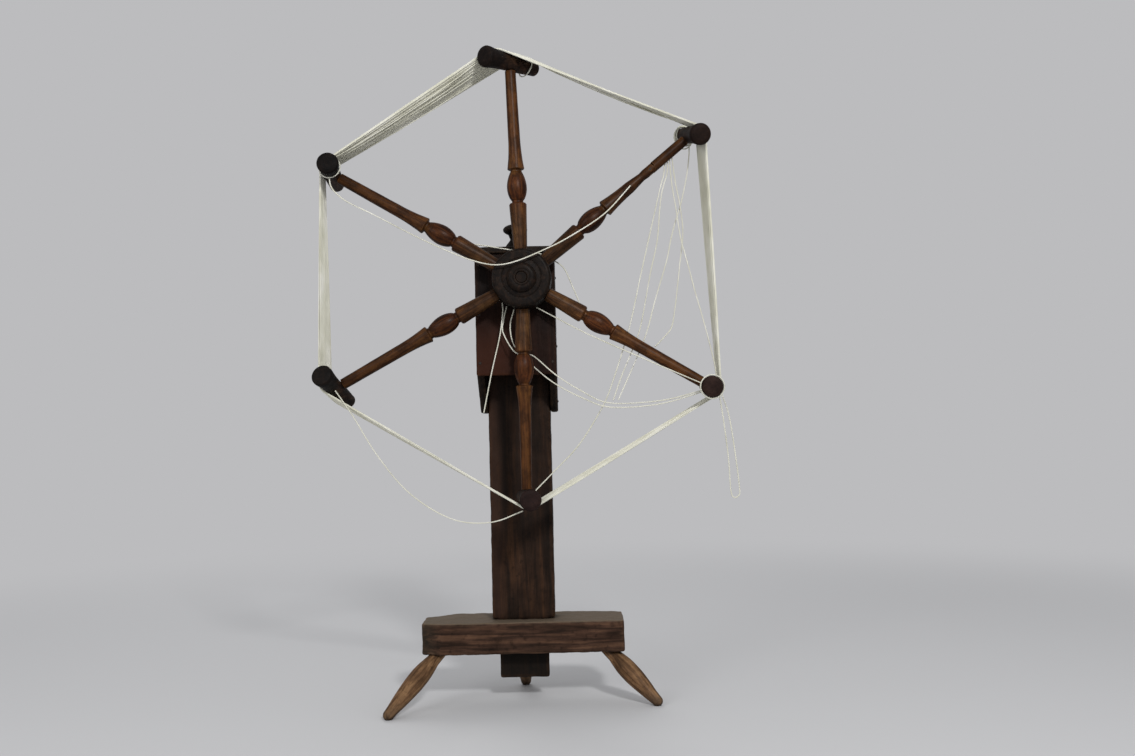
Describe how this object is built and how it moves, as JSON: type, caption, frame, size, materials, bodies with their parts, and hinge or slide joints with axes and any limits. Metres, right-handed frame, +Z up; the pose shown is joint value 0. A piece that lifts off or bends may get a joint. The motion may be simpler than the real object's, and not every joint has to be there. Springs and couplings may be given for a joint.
{
  "type": "clock reel",
  "caption": "Upright wooden skein winder: a six-armed reel with one folding arm, a worm-driven turn counter in a box, a post, and a splayed-leg bench.",
  "frame": {"origin": "on the floor, under the middle of the reel's width, half way between the crossbars' front ends and the rear foot", "axes": "+Z up, +X to the right of a person who faces the reel, -Y towards that person, along the axle"},
  "size_m": [0.58, 0.2663, 0.9261],
  "materials": {
    "bench_plank": "worn dark plank, rubbed pale on top",
    "turned_leg": "turned and worn",
    "dark_oak": "dark, waxed, vertical grain",
    "panel_wood": "dark red-brown, waxed",
    "hub_wood": "dark, turned rings",
    "spoke_wood": "turned, shellacked, rubbed orange on the collars",
    "crossbar_wood": "dark, polished by yarn",
    "inner_wood": "bare, unpolished",
    "iron": "dull, a little rust",
    "yarn": "undyed, plied"
  },
  "bodies": {
    "stand": {"bench": "bench_plank", "post": "dark_oak", "left_leg": "turned_leg", "right_leg": "turned_leg", "rear_leg": "turned_leg", "left_cheek": "dark_oak", "right_cheek": "dark_oak", "front_panel": "panel_wood", "back_board": "dark_oak", "top_board": "dark_oak", "finial": "dark_oak", "box_nails": "iron", "strip_block": "inner_wood", "strip_tacks": "iron"},
    "reel": {"axle": "hub_wood", "retaining_peg": "inner_wood", "hub": "hub_wood", "worm": "inner_wood", "top_spoke": "spoke_wood", "upper_left_spoke": "spoke_wood", "lower_left_spoke": "spoke_wood", "bottom_spoke": "spoke_wood", "lower_right_spoke": "spoke_wood", "folding_arm_inner": "spoke_wood", "knuckle_pin": "iron", "top_crossbar": "crossbar_wood", "upper_left_crossbar": "crossbar_wood", "lower_left_crossbar": "crossbar_wood", "bottom_crossbar": "crossbar_wood", "lower_right_crossbar": "crossbar_wood", "skein": "yarn", "front_strand": "yarn", "back_strand": "yarn", "hanging_end": "yarn", "spoke_strand": "yarn", "low_strand": "yarn", "hub_strand": "yarn", "long_strand": "yarn", "drop_strand": "yarn", "fan_strand": "yarn", "short_strand": "yarn", "corner_strand": "yarn", "loop_strand": "yarn", "swag_strand": "yarn"},
    "folding_arm": {"folding_arm_outer": "spoke_wood", "upper_right_crossbar": "crossbar_wood"},
    "counter": {"counting_wheel": "inner_wood", "wheel_arbor": "inner_wood", "trip_peg": "inner_wood"},
    "click": {"click_strip": "inner_wood"}
  },
  "joints": [
    {"name": "reel_spin", "type": "hinge", "parent": "stand", "child": "reel", "pos_m": [0.007, -0.081, 0.605], "axis": [0, 1, 0], "continuous": true},
    {"name": "arm_fold", "type": "hinge", "parent": "reel", "child": "folding_arm", "pos_m": [0.1891, -0.081, 0.75511], "axis": [0, -1, 0], "range_deg": [0, 90], "deforming": ["skein"]},
    {"name": "wheel_turn", "type": "hinge", "parent": "stand", "child": "counter", "pos_m": [0.007, 0.007, 0.55352], "axis": [1, 0, 0], "continuous": true},
    {"name": "strip_flex", "type": "hinge", "parent": "stand", "child": "click", "pos_m": [-0.0045, 0.008, 0.4805], "axis": [1, 0, 0], "range_deg": [0, 10], "stiffness_Nm_per_rad": 0.2}
  ],
  "couplings": [
    {"joint": "wheel_turn", "follows": "reel_spin", "ratio": -0.025}
  ]
}
